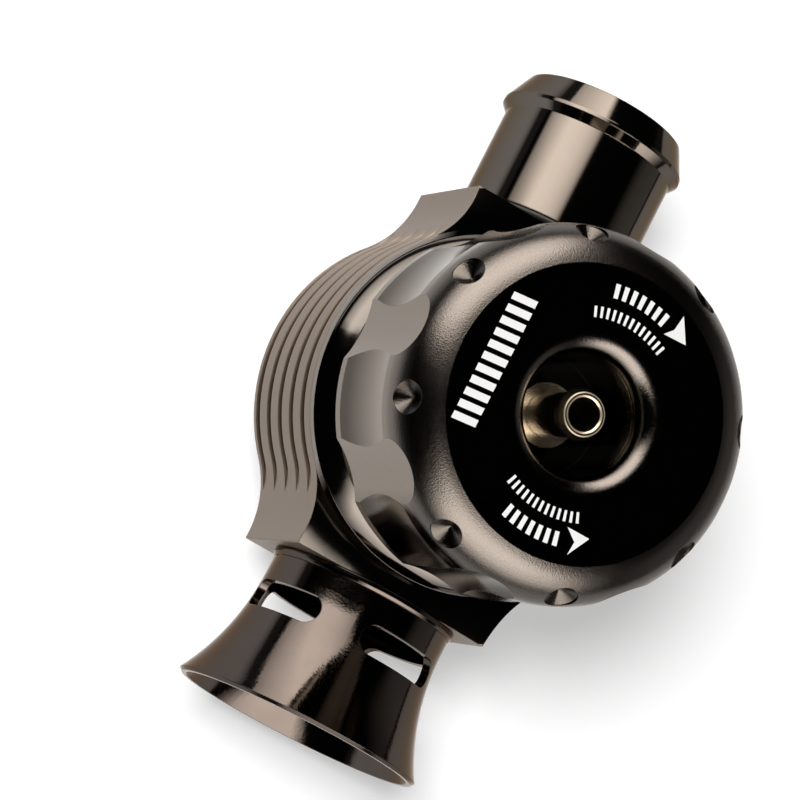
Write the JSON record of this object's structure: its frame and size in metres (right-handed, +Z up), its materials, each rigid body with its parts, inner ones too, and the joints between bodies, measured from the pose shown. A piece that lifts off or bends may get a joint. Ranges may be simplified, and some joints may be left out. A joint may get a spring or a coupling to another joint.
{
  "type": "blow off valve",
  "caption": "Turbo blow off valve: finned aluminium body, bottom hose inlet, side hose outlet, slotted trumpet, sprung piston, and a fluted screw-down adjuster cap with a vacuum nipple.",
  "frame": {"origin": "centre of the inlet mouth, on the surface that the valve stands on", "axes": "+Z up through the adjuster cap, +X from the trumpet to the hose outlet, +Y the finned side"},
  "size_m": [0.0967, 0.0506, 0.0753],
  "materials": {
    "body_black": "black anodised, fine blasted sides and polished turned faces",
    "polished_black": "polished black anodised",
    "gunmetal": "polished black anodised with a warm cast",
    "satin_black": "satin black anodised, fine grain",
    "nickel_brass": "turned, pale nickel over brass",
    "rubber": "matt black moulded rings",
    "turned_aluminium": "fine turned, bare",
    "acetal": "natural acetal",
    "spring_steel": "drawn spring wire"
  },
  "bodies": {
    "valve_body": {"body": "body_black", "inlet_barb": "polished_black", "inlet_seal": "rubber", "outlet_barb": "polished_black", "outlet_seal": "rubber", "trumpet": "gunmetal", "trumpet_seal": "rubber", "neck_seal": "rubber", "valve_spring": "spring_steel"},
    "piston": {"piston": "turned_aluminium", "piston_upper_seal": "rubber", "piston_lower_seal": "rubber", "piston_guide": "acetal", "seat_ring": "rubber"},
    "spring_carrier": {"spring_seat": "turned_aluminium", "thrust_washer": "acetal"},
    "adjuster": {"adjuster_cap": "satin_black", "vacuum_nipple": "nickel_brass", "nipple_seal": "rubber"}
  },
  "joints": [
    {"name": "piston_slide", "type": "slide", "parent": "valve_body", "child": "piston", "axis": [0, 0, 1], "range_m": [0, 0.008], "stiffness_N_per_m": 2500, "springref_m": -0.012, "deforming": ["valve_spring"]},
    {"name": "cap_advance", "type": "slide", "parent": "valve_body", "child": "spring_carrier", "axis": [0, 0, 1], "range_m": [-0.00025, 0.0045]},
    {"name": "cap_turn", "type": "hinge", "parent": "spring_carrier", "child": "adjuster", "pos_m": [0, 0, 0.0629], "axis": [0, 0, 1], "range_deg": [-61, 1081]}
  ],
  "couplings": [
    {"joint": "cap_turn", "follows": "cap_advance", "rad_per_m": 4188.8}
  ]
}
